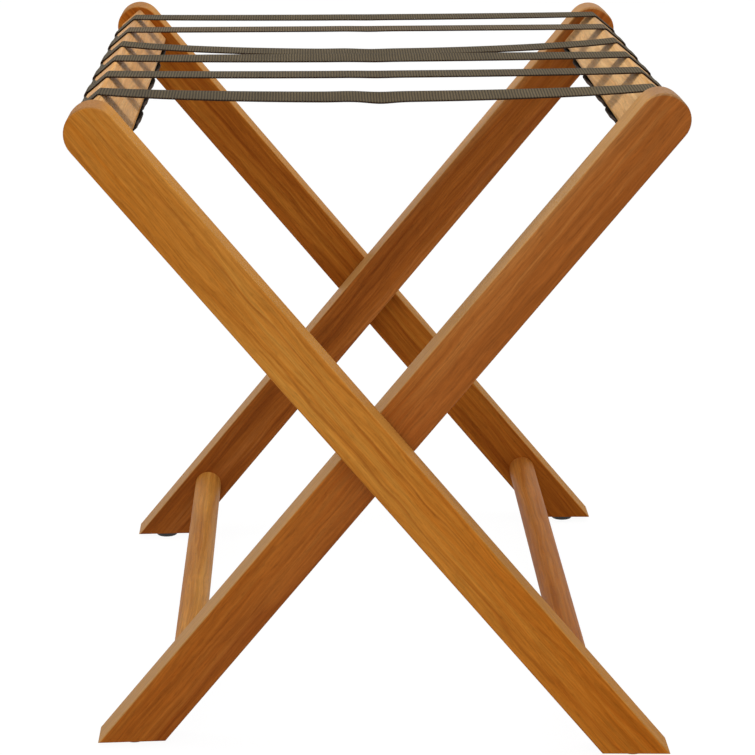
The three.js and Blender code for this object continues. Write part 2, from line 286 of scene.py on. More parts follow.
# %% The board's colour, and its fine shade
TONE_PART, STREAK_PART = 0.58, 0.42  # of the choice between the three tones
LINE_COLOR = (0.46, 0.22, 0.12, 1.0)  # what a full dark line leaves of the light
FAINT_LINES = 0.35  # the lines' share of their strength where the tone is deep
PORE_DEPTH = 0.12  # how much a pore takes from the light


def board_color(recipe, tone, streaks, tones, line, lines):
    """The wood's colour from its pale, middle and deep tones, with its ring lines."""
    pale, middle, deep = tones
    share = recipe.math("MULTIPLY", recipe.spread(tone, 0.3, 0.7), TONE_PART)
    streak = recipe.math("MULTIPLY", recipe.spread(streaks, 0.3, 0.7), STREAK_PART)
    share = recipe.math("ADD", share, streak)
    color = recipe.ramp(share, [(0.1, deep), (0.5, middle), (0.9, pale)])
    strength = recipe.spread(tone, 0.42, 0.6, FAINT_LINES * lines, lines)
    return recipe.mix(recipe.math("MULTIPLY", line, strength), color, LINE_COLOR, "MULTIPLY")


def fine_shade(recipe, threads, fibres, pores):
    shade = recipe.spread(threads, 0.34, 0.66, 0.87, 1.10)
    shade = recipe.math("MULTIPLY", shade, recipe.spread(fibres, 0.3, 0.7, 0.90, 1.09))
    return recipe.math("SUBTRACT", shade, recipe.math("MULTIPLY", pores, PORE_DEPTH))


# %% The colour round a leg
FOOT_ON_EDGE = 0.15  # how much of the foot's tone the pale edge takes


def leg_color(recipe, color, shares, leg_wood):
    """The board's colour, with the leg's deeper foot and its paler edge of sapwood and painted sheen.
    """
    sap_and_sheen_share, end_grain, low = shares
    edge = recipe.mix(end_grain, leg_wood["sap_and_sheen"], leg_wood["end"])
    edge_low = recipe.math("MULTIPLY", low, FOOT_ON_EDGE)
    edge = recipe.mix(edge_low, edge, leg_wood["foot"], "MULTIPLY")
    color = recipe.mix(low, color, leg_wood["foot"], "MULTIPLY")
    return recipe.mix(sap_and_sheen_share, color, edge)


# %% The wood recipe
FINE_GRAIN = ("streaks", "threads", "fibres", "pores")


def wood(name, grain, tones, seed, ring=0.009, lines=0.4, crisp=0.6, leg_wood=None, gloss=0.05):
    """Wood in three tones. A ring is this wide, and crisp is the share of it before its dark line."""
    recipe = Recipe(name)
    place = recipe.node("TexCoord").outputs["Object"]
    moved = [seed * step for step in TREE_STEP]
    turned = {"Vector": place, "Rotation": GRAIN[grain], "Location": moved}
    board = recipe.node("Mapping", turned).outputs[0]

    drift = recipe.noise(board, *NOISES["drift"])
    wander = sideways(recipe, drift, WANDER)
    ripple = sideways(recipe, recipe.noise(board, *NOISES["ripple"]), RIPPLE)
    bent = recipe.vector("ADD", board, recipe.vector("ADD", wander, ripple))
    heart = (0, moved[1] + HEART[0], moved[2] + HEART[1])
    line = ring_lines(recipe, bent, heart, ring, crisp)
    tone = recipe.noise(board, *NOISES["tone"]).outputs[0]
    fine = [recipe.noise(bent, *NOISES[kind]).outputs[0] for kind in FINE_GRAIN]
    streaks, threads, fibres, pores = fine
    pores = recipe.spread(pores, 0.60, 0.72)

    color = board_color(recipe, tone, streaks, tones, line, lines)
    if leg_wood:
        half, soft = leg_wood["width"] / 2, leg_wood["soft"]
        shares = leg_shares(recipe, place, drift.outputs[0], grain, half, soft)
        color = leg_color(recipe, color, shares, leg_wood)
    color = recipe.shaded(color, fine_shade(recipe, threads, fibres, pores))
    height = recipe.math("SUBTRACT", recipe.math("MULTIPLY", fibres, 0.5), pores)
    recipe.set(
        recipe.shader,
        {
            "Base Color": color,
            "Roughness": recipe.spread(fibres, 0.3, 0.7, 0.44, 0.56),
            "Specular IOR Level": gloss,
            "Normal": recipe.bump(height, distance=0.00012, strength=0.6),
        },
    )
    return recipe.material


# %% [markdown]
# ### Eight boards
# No two boards of a rack come from the same tree. The outer legs are golden, the inner ones a redder
# brown, and the rails much paler. One material for all would make them look cast from one block, so
# each piece has its own three tones and its own place in the noise.

# %% The legs' wood
# sap_and_sheen is the pale upper edge's colour: partly sapwood, partly painted sheen of the light from
# above
WOODS = {
    "outer_leg_front": wood(
        "golden_leg_front", "outer",
        (srgb(198, 138, 60), srgb(189, 121, 46), srgb(175, 105, 33)), 1.0,
        ring=0.008, lines=0.46, crisp=0.80, gloss=0.008,
        leg_wood={
            "width": LEG_WIDTH, "soft": 0.4,
            "sap_and_sheen": srgb(197, 136, 62), "end": srgb(165, 115, 66), "foot": srgb(243, 221, 186),
        },
    ),
    "outer_leg_back": wood(
        "golden_leg_back", "outer",
        (srgb(184, 114, 40), srgb(163, 91, 28), srgb(137, 69, 19)), 2.0, gloss=0.008,
        leg_wood={
            "width": BACK_LEG_WIDTH, "soft": 0.0,
            "sap_and_sheen": srgb(195, 136, 68), "end": srgb(166, 114, 63), "foot": srgb(255, 255, 255),
        },
    ),
    "inner_leg_front": wood(
        "brown_leg_front", "inner",
        (srgb(173, 106, 48), srgb(160, 91, 36), srgb(145, 78, 26)), 3.0,
        ring=0.017, lines=0.5, crisp=0.72,
        leg_wood={
            "width": LEG_WIDTH, "soft": 0.3,
            "sap_and_sheen": srgb(186, 137, 79), "end": srgb(155, 112, 70), "foot": srgb(253, 242, 192),
        },
    ),
    "inner_leg_back": wood(
        "brown_leg_back", "inner",
        (srgb(178, 106, 47), srgb(161, 89, 30), srgb(135, 68, 18)), 4.0,
        leg_wood={
            "width": LEG_WIDTH, "soft": 0.45,
            "sap_and_sheen": srgb(188, 136, 78), "end": srgb(170, 122, 74), "foot": srgb(236, 233, 230),
        },
    ),
}
print(len(WOODS), "legs' boards")

# %% The rails' and stretchers' wood
RAIL_LINES = 0.22  # their rings are fainter
CROSSWISE = (
    ("outer_rail", "sapwood_rail_left", 5.0,
     (srgb(224, 178, 120), srgb(210, 157, 98), srgb(190, 134, 74))),
    ("inner_rail", "sapwood_rail_right", 6.0,
     (srgb(230, 187, 130), srgb(216, 168, 110), srgb(196, 144, 84))),
    ("outer_stretcher", "rosy_stretcher", 7.0,
     (srgb(186, 120, 54), srgb(169, 101, 36), srgb(148, 80, 22))),
    ("inner_stretcher", "pale_stretcher", 8.0,
     (srgb(208, 151, 76), srgb(193, 130, 56), srgb(171, 105, 37))),
)
for piece, title, seed, tones in CROSSWISE:
    WOODS[piece] = wood(title, "rails", tones, seed, lines=RAIL_LINES)
print(len(WOODS), "boards, each from its own tree")

# %% [markdown]
# ## Webbing
# Woven webbing has a rib every 2.2 mm across its length. Its pattern must follow the strap round the
# rails, which a pattern in space can't do, so it reads a UV map in which u is the length along the
# flat strap and v the place across it, both in metres. The edges are woven tighter and look darker,
# and a little noise keeps the ribs from looking printed.

# %% Webbing
RIB_PITCH = 0.0022
RIB_WOBBLE = 0.0008  # how far noise moves a rib
SELVAGE = (0.0128, 0.0145)  # across, from the middle: the tighter edge begins, and is full
SELVAGE_SHADE = 0.8


def webbing(name, groove, rib, near=1.0, far=1.0):
    """Its tone changes from near, at the outer rail, to far, at the inner rail, as painted light and
    shade.
    """
    recipe = Recipe(name)
    flat = recipe.node("UVMap", uv_map="weave").outputs[0]
    length, across, _ = recipe.node("SeparateXYZ", {0: flat}).outputs
    wobble = recipe.noise(flat, (120, 60, 1), detail=1, offset=(2, 7, 0)).outputs[0]
    along = recipe.math("ADD", length, recipe.math("MULTIPLY", wobble, RIB_WOBBLE))
    wave = recipe.math("SINE", recipe.math("MULTIPLY", along, math.tau / RIB_PITCH))
    wave = recipe.spread(wave, -1.0, 1.0)
    yarns = recipe.noise(flat, (700, 1500, 1), detail=2).outputs[0]
    patches = recipe.noise(flat, (45, 30, 1), detail=2, offset=(5, 1, 0)).outputs[0]
    selvage = recipe.spread(recipe.math("ABSOLUTE", across), *SELVAGE)

    shade = recipe.spread(yarns, 0.25, 0.75, 0.84, 1.12)
    for part in (
        recipe.spread(patches, 0.3, 0.7, 0.86, 1.08),
        # painted light and shade along the strap, from near to far
        recipe.spread(length, 0.02, 0.42, near, far),
        recipe.spread(selvage, 0, 1, 1.0, SELVAGE_SHADE),
    ):
        shade = recipe.math("MULTIPLY", shade, part)
    height = recipe.math("ADD", wave, recipe.math("MULTIPLY", yarns, 0.3))
    recipe.set(
        recipe.shader,
        {
            "Base Color": recipe.shaded(recipe.mix(wave, groove, rib), shade),
            "Roughness": 0.82,
            "Specular IOR Level": 0.08,
            "Sheen Weight": 0.03,
            "Sheen Roughness": 0.5,
            "Normal": recipe.bump(height, distance=0.00025, strength=0.5),
        },
    )
    return recipe.material


# %% The rack's webbings
OLIVE = (srgb(54, 45, 30), srgb(97, 84, 61))  # the grooves between the ribs, and the ribs
WEBBING = webbing("olive_webbing", *OLIVE)
# the front strap: painted shade at the outer rail, painted light towards the inner one
WEBBING_FRONT_PAINTED_LIGHT = webbing("olive_webbing_front_painted_light", *OLIVE, 0.80, 1.20)
WEBBING_PALE = webbing("olive_webbing_pale", srgb(62, 51, 35), srgb(111, 94, 70))
# a darker webbing for the rims: painted shade on the edges
WEBBING_EDGE_PAINTED_SHADE = webbing("webbing_edge_painted_shade", srgb(44, 30, 22), srgb(64, 46, 34))
# a darker webbing for the tails: painted shade under the rail
WEBBING_TAIL_PAINTED_SHADE = webbing("tail_webbing_painted_shade", srgb(36, 29, 20), srgb(66, 56, 41))
print("a rib every", RIB_PITCH * 1000, "mm")

# %% [markdown]
# ## Plastic, steel and plain dowels
# The foot pads are black plastic, the pins and tacks zinc plated steel, and the dowels plain beech.
# They are small, so one recipe does for all three: two close tones in a fine speckle, which also
# varies the gloss, as on anything that has been handled.


# %% Plastic, steel and dowels
def plain(name, light, dark, roughness, metallic, grain=900):
    recipe = Recipe(name)
    place = recipe.node("TexCoord").outputs["Object"]
    speckle = recipe.noise(place, (grain, grain, grain), detail=3).outputs[0]
    recipe.set(
        recipe.shader,
        {
            "Base Color": recipe.ramp(speckle, [(0.3, dark), (0.7, light)]),
            "Roughness": recipe.spread(speckle, 0.3, 0.7, roughness - 0.06, roughness + 0.08),
            "Metallic": metallic,
            "Normal": recipe.bump(speckle, distance=0.00005, strength=0.4),
        },
    )
    return recipe.material


PLASTIC = plain("black_plastic", srgb(24, 20, 16), srgb(14, 11, 9), 0.5, 0.0)
STEEL = plain("zinc_steel", srgb(196, 196, 190), srgb(150, 148, 142), 0.35, 1.0)
DOWEL = plain("beech_dowel", srgb(210, 176, 128), srgb(186, 148, 98), 0.6, 0.0, grain=300)
print("plain finishes", [material.name for material in (PLASTIC, STEEL, DOWEL)])

# %% [markdown]
# ## Finishing a piece
# A finished bmesh becomes an object with smooth shading. The Weighted Normal modifier lets the big
# flat faces decide the shading at an eased edge, so flats stay flat and the edge catches the light.

# %% The finishing helpers
NEAR = 1e-6  # places closer than this are the same
SHARP = 1.2  # radians: an edge that still has to be eased turns by more


def finished(name, shape, material, body=None, replaces=(), flats=True):
    bmesh.ops.recalc_face_normals(shape, faces=shape.faces)
    mesh = bpy.data.meshes.new(name)
    shape.to_mesh(mesh)
    shape.free()
    mesh.shade_smooth()
    made = bpy.data.objects.new(name, mesh)
    bpy.context.scene.collection.objects.link(made)
    mesh.materials.append(material)
    if flats:
        weighted = made.modifiers.new("flat faces lead", "WEIGHTED_NORMAL")
        weighted.keep_sharp = True
    if body:
        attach(made, body)
    if replaces:
        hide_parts(*replaces)
    return made


def bevel(shape, edges, offset, segments):
    return bmesh.ops.bevel(
        shape, geom=edges, offset=offset, offset_type="OFFSET", affect="EDGES",
        segments=segments, profile=0.5, material=-1, clamp_overlap=True,
    )


# %% [markdown]
# ## Legs
# A leg is a straight board with a sawn foot and a rounded top end. It could be cut from a block with
# booleans, but a stretched cube takes fewer steps: its lower corners slide to the slope that the
# floor has against the leg, a wide bevel rounds each of the two top corners, and a narrow one eases
# the outline of both sides as sanding does. Drawing it upright first keeps these steps square.

# %% One leg
LEG_EASE = 0.002
INNER_LEG_RISE = 0.0005  # the inner legs reach this much higher
LEG_CORNERS = {"outer_frame": (0.019, 0.020), "inner_frame": (0.018, 0.018)}  # upper, lower corner
FOOT_CUT = {"front": (0.0038, 0.0048), "back": (0.0055, 0.0061)}  # heights of the tip and the heel


def leg(name, body, y0, width=LEG_WIDTH):
    top = LEG_TOP if body == "outer_frame" else LEG_TOP + INNER_LEG_RISE
    tip, heel = FOOT_CUT[name.split("_")[-1]]
    shape = bmesh.new()
    bmesh.ops.create_cube(shape, size=1)
    bmesh.ops.scale(shape, verts=shape.verts, vec=(width, LEG_DEPTH, 1))
    for v in shape.verts:
        floor = (tip if v.co.x > 0 else heel) - pivot.z
        v.co.z = top if v.co.z > 0 else (floor - v.co.x * math.cos(LEAN)) / math.sin(LEAN)
    for x, radius in zip((width / 2, -width / 2), LEG_CORNERS[body]):
        corner = [
            e for e in shape.edges
            if all(v.co.z > top - NEAR and abs(v.co.x - x) < NEAR for v in e.verts)
        ]
        bevel(shape, corner, radius, segments=12)
    outline = [
        e for e in shape.edges
        if e.calc_face_angle(0) > SHARP and abs(e.verts[0].co.y - e.verts[1].co.y) < NEAR
    ]
    bevel(shape, outline, LEG_EASE, segments=4)
    bmesh.ops.translate(shape, verts=shape.verts, vec=(0, y0 + LEG_DEPTH / 2, 0))
    shape.transform(LEANING[body])
    return finished(f"board_{name}", shape, WOODS[name], body, (name,))


legs = [
    leg("outer_leg_front", "outer_frame", -OUTER_INSIDE - LEG_DEPTH),
    leg("outer_leg_back", "outer_frame", OUTER_INSIDE, BACK_LEG_WIDTH),
    leg("inner_leg_front", "inner_frame", INNER_INSIDE),
    leg("inner_leg_back", "inner_frame", -INNER_INSIDE - LEG_DEPTH),
]
print("leg faces", [len(o.data.polygons) for o in legs])

# %% [markdown]
# ## Rails
# A rail is a flat board of paler sapwood between its frame's legs. Its four long edges are rounded,
# so that the webbing can turn over them without wearing. A Bevel modifier would need a weight on each
# of them to leave the short edges alone, and the bevel operator is simply given the long ones.


# %% One rail
def rail(name, body, inside):
    shape = bmesh.new()
    bmesh.ops.create_cube(shape, size=1)
    size = (RAIL_IN - RAIL_OUT, 2 * (inside - GAP), RAIL_TOP - RAIL_BOTTOM)
    bmesh.ops.scale(shape, verts=shape.verts, vec=size)
    long_edges = [e for e in shape.edges if abs(e.verts[0].co.y - e.verts[1].co.y) > NEAR]
    bevel(shape, long_edges, RAIL_EASE, segments=6)
    middle = ((RAIL_IN + RAIL_OUT) / 2, 0, (RAIL_TOP + RAIL_BOTTOM) / 2)
    bmesh.ops.translate(shape, verts=shape.verts, vec=middle)
    shape.transform(LEANING[body])
    return finished(f"board_{name}", shape, WOODS[name], body, (name,))


rails = [
    rail("outer_rail", "outer_frame", OUTER_INSIDE),
    rail("inner_rail", "inner_frame", INNER_INSIDE),
]
print("rail lengths", [round(o.dimensions.y, 4) for o in rails])

# %% [markdown]
# ## Stretchers
# A stretcher is a turned rod, let into both legs near the foot. A curve with a round bevel would make
# one too, but has to be turned into a mesh. A cone operator with equal radii gives the rod at once,
# and a narrow bevel breaks the rims of its ends.

# %% One stretcher
STRETCHER_RADIUS = 0.012
STRETCHER_DROP = 0.23533  # along, below the pivot
STRETCHER_LET_IN = 0.0177  # how deep each end sits in its leg
STRETCHER_RIM = 0.001


def stretcher(name, body, inside):
    shape = bmesh.new()
    bmesh.ops.create_cone(
        shape, cap_ends=True, segments=64, radius1=STRETCHER_RADIUS, radius2=STRETCHER_RADIUS,
        depth=2 * (inside + STRETCHER_LET_IN), matrix=Matrix.Rotation(math.pi / 2, 4, "X"),
    )
    rims = [e for e in shape.edges if e.calc_face_angle(0) > SHARP]
    bevel(shape, rims, STRETCHER_RIM, segments=3)
    bmesh.ops.translate(shape, verts=shape.verts, vec=(0, 0, -STRETCHER_DROP))
    shape.transform(LEANING[body])
    return finished(f"rod_{name}", shape, WOODS[name], body, (name,))


rods = [
    stretcher("outer_stretcher", "outer_frame", OUTER_INSIDE),
    stretcher("inner_stretcher", "inner_frame", INNER_INSIDE),
]
print("stretcher lengths", [round(o.dimensions.y, 4) for o in rods])

# %% [markdown]
# ## Foot pads
# Each pad is a small round glide that keeps the sawn foot off the floor. A cylinder with two bevels
# would do, but spinning a profile makes the same rims in one step: the profile is drawn as a short
# chain of vertices from the axis, out round the rim and back, and spun a full turn.

# %% One foot pad
FRONT_PAD = 0.88  # the front pads are a little smaller
PAD_RIM = ((0.0020, 0), (0.0008, 0.0004), (0, 0.0012))  # in from the radius, up from the floor
PAD_SHOULDER = 0.0006  # the chamfer against the wood


def foot_pad(node, body):
    low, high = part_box(node)
    radius, height, centre = (high.x - low.x) / 2, high.z, (low + high) / 2
    if node.endswith("front"):
        radius *= FRONT_PAD
    profile = [(0, 0), *((radius - inset, z) for inset, z in PAD_RIM)]
    profile += [(radius, height - PAD_SHOULDER), (radius - PAD_SHOULDER, height), (0, height)]
    shape = bmesh.new()
    chain = [shape.verts.new((x, 0, z)) for x, z in profile]
    edges = [shape.edges.new(pair) for pair in zip(chain, chain[1:])]
    bmesh.ops.spin(
        shape, geom=chain + edges, cent=(0, 0, 0), axis=(0, 0, 1), dvec=(0, 0, 0),
        angle=math.tau, steps=48, use_merge=True, use_duplicate=False,
    )
    bmesh.ops.remove_doubles(shape, verts=shape.verts, dist=NEAR)
    bmesh.ops.translate(shape, verts=shape.verts, vec=(centre.x, centre.y, 0))
    return finished(f"disc_{node}", shape, PLASTIC, body, (node,))


pads = [
    foot_pad(f"{side}_foot_pad_{end}", f"{side}_frame")
    for side in ("outer", "inner") for end in ("front", "back")
]
print("foot pads", [round(o.dimensions.x, 4) for o in pads], "m across")

# %% [markdown]
# ## Routes for the webbing
# A strap is cut flat and then bent, and so is its mesh: a grid from one operator gets its UV map
# while it is still flat, and each of its points is then carried to its place along a route round the
# rail. A curve with a flat profile would be quicker, but it stays straight across, and the tails
# curl. A route is a chain of points with the way out of the wood at each, sampled by its length.


# %% A route
class Route:
    def __init__(self, points, outs):
        self.points, self.outs = points, outs
        self.lengths = [0.0]
        for a, b in zip(points, points[1:]):
            self.lengths.append(self.lengths[-1] + (b - a).length)
        self.length = self.lengths[-1]

    def at(self, s):
        """The point at a length along the route, and the way out of the wood there."""
        i = 0
        while i < len(self.points) - 2 and self.lengths[i + 1] < s:
            i += 1
        share = (s - self.lengths[i]) / (self.lengths[i + 1] - self.lengths[i])
        return (
            self.points[i].lerp(self.points[i + 1], share),
            self.outs[i].lerp(self.outs[i + 1], share).normalized(),
        )


# %% Round the corners of a rail
CORNER_STEPS = 8
UPPER_IN = (RAIL_IN - RAIL_EASE, RAIL_TOP - RAIL_EASE)  # the middles of the rounded edges
UPPER_OUT = (RAIL_OUT + RAIL_EASE, RAIL_TOP - RAIL_EASE)
LOWER_OUT = (RAIL_OUT + RAIL_EASE, RAIL_BOTTOM + RAIL_EASE)


def round_rail(corner, start, stop, lift):
    """Points and outward directions round one eased corner of the rail's section, by degrees."""
    turns = [start + (stop - start) * i / CORNER_STEPS for i in range(CORNER_STEPS + 1)]
    outs = [Vector((math.cos(a), 0, math.sin(a))) for a in map(math.radians, turns)]
    return [Vector((corner[0], 0, corner[1])) + out * (RAIL_EASE + lift) for out in outs], outs


# %% The straps' route
STRAP_WIDTH, STRAP_THICK = 0.030, 0.0010
STRAP_LIFT = GAP + STRAP_THICK / 2  # from the wood to the middle of the webbing


def strap_route():
    """From the outer rail's far edge over its top corner, across, and down the inner rail."""
    far_points, far_outs = round_rail(UPPER_OUT, 180, 90, STRAP_LIFT)
    near_points, near_outs = round_rail(UPPER_IN, 90, math.degrees(LEAN), STRAP_LIFT)
    lean = LEANING["outer_frame"]
    points = [lean @ p for p in far_points + near_points]
    outs = [lean.to_3x3() @ o for o in far_outs + near_outs]
    mirrored = [Vector((-p.x, 0, p.z)) for p in reversed(points)]
    mirrored_outs = [Vector((-o.x, 0, o.z)) for o in reversed(outs)]
    return Route(points + mirrored, outs + mirrored_outs)


over = strap_route()
print("strap from edge to edge", round(over.length, 4), "m")

# %% [markdown]
# ## Straps
# The straps are taut, but not all alike: each has a small set where it was folded in its package,
# some hang a little, and the front one leans. A cloth simulation would hang all six alike, so these
# are gentle moves of the height by the place along the span, and fall to nothing at the rails. A
# Solidify modifier then gives the thickness, with a darker webbing on its rim: painted shade for
# the edge, which the light from above barely reaches.

# %% How each strap hangs
SPAN_END = 0.2072  # |x| where the straps reach the rails
SLACK = {  # strap: sag of the near edge, sag of the far edge, height of the fold's set
    1: (0.0071, 0.0044, 0.0008),
    2: (0.0019, 0.0015, 0.0002),
    3: (0.0020, 0.0002, 0.0002),
    4: (0.0090, 0.0082, 0.0007),
    5: (0.0004, 0.0003, 0.0002),
    6: (0.0018, 0.0010, 0.0001),
}
SAG_FULLNESS = 0.8  # under 1, the sag is fuller towards the rails
FOLD_RISE, FOLD_DIP, FOLD_WIDE = -0.021, 0.002, 0.012  # along the span
RISE, DIP, DIP_LEAN = 0.45, 0.5, 0.9  # in heights of the set; the dip gets more at the near edge


def set_of_fold(x, lean):
    """A low rise, then a dip that is deeper at the near edge."""
    rise, dip = (math.exp(-(((x - place) / FOLD_WIDE) ** 2)) for place in (FOLD_RISE, FOLD_DIP))
    return RISE * rise - (DIP + DIP_LEAN * lean) * dip


# %% A flat ribbon, and its thickness
def ribbon(length, width, step, across):
    """A flat grid, u along it and v across it in metres, kept in the UV map."""
    shape = bmesh.new()
    weave = shape.loops.layers.uv.new("weave")
    bmesh.ops.create_grid(shape, x_segments=round(length / step), y_segments=across, size=0.5)
    bmesh.ops.scale(shape, verts=shape.verts, vec=(length, width, 1))
    bmesh.ops.translate(shape, verts=shape.verts, vec=(length / 2, 0, 0))
    for face in shape.faces:
        for loop in face.loops:
            loop[weave].uv = loop.vert.co.xy
    return shape


def thickened(made):
    """Gives a ribbon its thickness, and its rim the material after its own."""
    wall = made.modifiers.new("thickness", "SOLIDIFY")
    wall.thickness, wall.offset, wall.material_offset_rim = STRAP_THICK, 0, 1


# %% One strap
STRAP_YS = [(low.y + high.y) / 2 for low, high in (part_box(f"strap_span_{n}") for n in range(1, 7))]
STRAP_CLOTH = {1: WEBBING_FRONT_PAINTED_LIGHT, 5: WEBBING_PALE}  # the others are plain WEBBING


def strap(number):
    y = STRAP_YS[number - 1]
    near, far, fold_set = SLACK[number]
    shape = ribbon(over.length, STRAP_WIDTH, step=0.001, across=10)
    for v in shape.verts:
        s, across = v.co.x, v.co.y
        at, _ = over.at(s)
        share = max(0.0, 1 - (at.x / SPAN_END) ** 2)  # 1 in the middle, 0 at the rails
        lean = 0.5 - across / STRAP_WIDTH  # 1 at the near edge, 0 at the far one
        sag = (near * lean + far * (1 - lean)) * share ** SAG_FULLNESS
        v.co = (at.x, y + across, at.z - sag + fold_set * set_of_fold(at.x, lean) * share)
    made = finished(
        f"strap_{number}", shape, STRAP_CLOTH.get(number, WEBBING),
        replaces=(f"strap_span_{number}",), flats=False,
    )
    # the rim's darker webbing is painted shade
    made.data.materials.append(WEBBING_EDGE_PAINTED_SHADE)
    thickened(made)
    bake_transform(made)
    return made


straps = [strap(number) for number in range(1, 7)]
print(len(straps), "straps at y", [round(y, 4) for y in STRAP_YS])

# %% [markdown]
# ## Turned tails
# Past the rail's far edge each strap runs down the outer face and under the rail on a slant. Its tail
# is turned back over it, so the webbing is double there and wider than the strap. The inner layer is
# a ribbon as wide as the strap. The outer layer is wider and begins on the rail's top face, just
# under the strap. On the corner only the part over the strap stands off the wood, and on the outer
# face nearly all of it does, until its far edge turns in again. A tack pins both under the middle of
# the rail, and past the tack the free end curls down, most at its far side. A cloth simulation could
# fold the tails too, but no two would land alike, and a drawn route keeps all twelve in step.

# %% The tails' route
TAIL_START = 0.006  # on the top face, before the corner
TAIL_SHORT = 0.0006  # under the rail, before its inward face


def tail_route():
    start = Vector((UPPER_OUT[0] + TAIL_START, 0, UPPER_OUT[1] + RAIL_EASE + STRAP_LIFT))
    first, first_outs = round_rail(UPPER_OUT, 90, 180, STRAP_LIFT)
    last, last_outs = round_rail(LOWER_OUT, 180, 270, STRAP_LIFT)
    end = Vector((RAIL_IN - TAIL_SHORT, 0, RAIL_BOTTOM - STRAP_LIFT))
    outs = [Vector((0, 0, 1))] + first_outs + last_outs + [Vector((0, 0, -1))]
    return Route([start] + first + last + [end], outs)


under = tail_route()
TURN = under.lengths[CORNER_STEPS + 1]  # where the route has turned down to the outer face
FALL = under.length - TURN
print("tail from the top face to its end", round(under.length, 4), "m")

# %% How far the layers stand off the wood
TAIL_CURL = 0.0011
LAYER_STEP = STRAP_THICK * 1.05  # from the inner layer to the outer one
SUNK = 0.0003  # how far the outer layer's beginning is tucked down
CLOSING = 0.14  # the share of the width in which the far edge turns in to the wood


def smooth(value, start, over):
    """0 up to start, then a soft rise to 1 over this much."""
    share = min(1.0, max(0.0, (value - start) / over))
    return share * share * (3 - 2 * share)


def curl(share, down):
    """How far the free end has curled at a share of its width from the near edge, down its route."""
    return TAIL_CURL * smooth(share, 0.1, 0.4) * smooth(down, 0.7, 0.3)


def layer_lift(share, s, first_s):
    """How far the outer layer stands off the route that the inner one follows."""
    down = max(0.0, (s - TURN) / FALL)
    grown = smooth(s - first_s, 0.002, 0.007)
    past_strap = smooth(share, 0.35, 0.65)
    on_corner = LAYER_STEP * grown * (1 - past_strap)
    on_face = LAYER_STEP * smooth(share - 0.16 * down, -0.1, 0.1) * smooth(s - TURN, 0, 0.005)
    closed = math.sqrt(1 - max(0.0, (share - 1 + CLOSING) / CLOSING) ** 2)
    lift = max(on_corner, on_face) + curl(share, down)
    return lift * closed - SUNK * (1 - grown) * (1 - past_strap)


# %% How the layers run aside
TAIL_WIDTH = 0.080
INNER_LAYER = (STRAP_WIDTH, 0.042, 0.042)  # width, how far the near and the far edge run aside
OUTER_LAYER = (TAIL_WIDTH, 0.0335, 0.0285)
TAIL_ROOM = 0.2322  # |y| up to which a tail may reach, short of the leg
TAIL_LEAST = 0.014  # the width that a tail keeps there


def between_edges(y, width, near_slant, far_slant, share, down):
    """A place across a layer: its edges run aside, and the last ones stop at the leg."""
    near = min(y - STRAP_WIDTH / 2 + near_slant * down, TAIL_ROOM - TAIL_LEAST)
    far = min(y - STRAP_WIDTH / 2 + width + far_slant * down, TAIL_ROOM)
    return near * (1 - share) + far * share


# %% The two layers of a tail
SET_BACK = 0.009  # the outer layer's far corner begins later
PLAIN_TO = 0.004  # past the turn: it is plain webbing down to here, and darker below, painted shade under the rail
PLAIN_SLOT = 2


def inner_layer(y, turned):
    shape = ribbon(FALL, STRAP_WIDTH, step=0.001, across=8)
    for v in shape.verts:
        share, down = v.co.y / STRAP_WIDTH + 0.5, v.co.x / FALL
        at, out = under.at(TURN + v.co.x)
        at = at + out * curl(0.14 + 0.38 * share, down)
        v.co = (at.x, turned * between_edges(y, *INNER_LAYER, share, down), at.z)
    return shape


def outer_layer(y, turned):
    shape = ribbon(under.length, TAIL_WIDTH, step=0.0008, across=40)
    for v in shape.verts:
        share, u = v.co.y / TAIL_WIDTH + 0.5, v.co.x / under.length
        first_s = SET_BACK * max(0.0, (share - 0.36) / 0.62) ** 1.5
        s = first_s + (under.length - first_s) * u
        down = max(0.0, (s - TURN) / FALL)
        at, out = under.at(s)
        at = at + out * layer_lift(share, s, first_s)
        v.co = (at.x, turned * between_edges(y, *OUTER_LAYER, share, down), at.z)
    weave = shape.loops.layers.uv["weave"]
    for face in shape.faces:
        if min(loop[weave].uv.x for loop in face.loops) < TURN + PLAIN_TO:
            face.material_index = PLAIN_SLOT
    return shape


# %% One tail
def tail(number, body):
    side = body[:5]
    turned = -1 if body == "inner_frame" else 1  # the inner frame's y is reversed
    y = STRAP_YS[number - 1]
    shape, outer = inner_layer(y, turned), outer_layer(y, turned)
    mesh = bpy.data.meshes.new("layer")
    outer.to_mesh(mesh)
    shape.from_mesh(mesh)
    outer.free()
    bpy.data.meshes.remove(mesh)
    shape.transform(LEANING[body])
    # the tail is mostly the darker webbing, painted shade; near the top face it is plain webbing
    made = finished(
        f"{side}_strap_tail_{number}", shape, WEBBING_TAIL_PAINTED_SHADE,
        replaces=(f"{side}_strap_end_{number}",), flats=False,
    )
    for material in (WEBBING_EDGE_PAINTED_SHADE, WEBBING, WEBBING_EDGE_PAINTED_SHADE):  # a rim's material follows its cloth's
        made.data.materials.append(material)
    thickened(made)
    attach(made, body)
    return made


tails = [tail(number, body) for body in LEANING for number in range(1, 7)]
print(len(tails), "tails")

# %% [markdown]
# ## Small metal and dowels
# Pins, washers, nails, tacks and dowels hold the rack together and are all but hidden in it. Drawing
# them again would show nothing new, so they keep their CAD shape and only take a finish.

# %% Finishes for the nodes that stay
given = {STEEL.name: 0, DOWEL.name: 0}
for node, held in frame["nodes"].items():
    metal = any(word in node for word in ("pin", "washer", "nail", "tack"))
    if metal or "dowel" in node:
        finish = STEEL if metal else DOWEL
        held.data.materials.clear()
        held.data.materials.append(finish)
        given[finish.name] += 1
print("finishes given", given)

